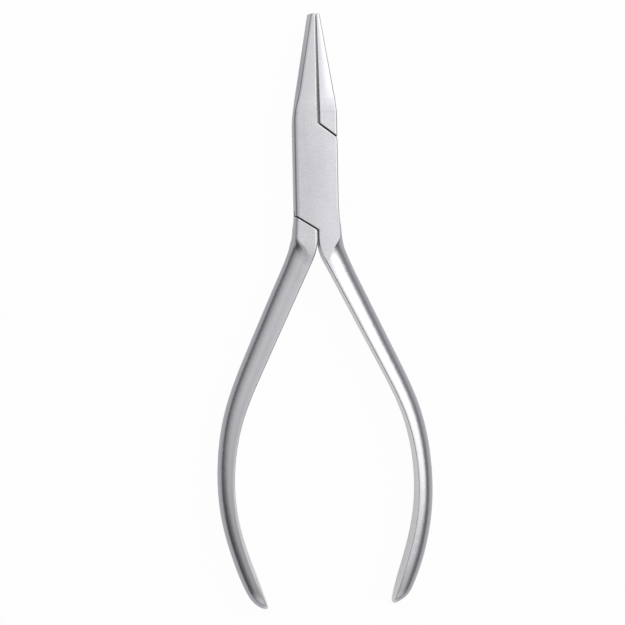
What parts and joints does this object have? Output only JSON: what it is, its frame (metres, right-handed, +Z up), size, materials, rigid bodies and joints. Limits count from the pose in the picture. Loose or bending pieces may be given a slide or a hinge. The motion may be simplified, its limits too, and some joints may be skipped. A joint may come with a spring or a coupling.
{
  "type": "orthodontic pliers",
  "caption": "Flat-nose orthodontic pliers in satin stainless steel, with slim tapered jaws, a box joint and bowed handles.",
  "frame": {"origin": "on the axis of the joint pin, in the plane that the pliers lie on", "axes": "+X across the tool, +Y from the joint towards the jaw tips, +Z up along the joint pin"},
  "size_m": [0.047, 0.1296, 0.0081],
  "materials": {
    "satin_steel": "satin, fine blasted"
  },
  "bodies": {
    "box_body": {"box_half": "satin_steel", "joint_pin": "satin_steel"},
    "tang_body": {"tang_half": "satin_steel"}
  },
  "joints": [
    {"name": "jaw_opening", "type": "hinge", "parent": "box_body", "child": "tang_body", "pos_m": [0, 0, 0.004], "axis": [0, 0, -1], "range_deg": [-0.28, 28]}
  ]
}
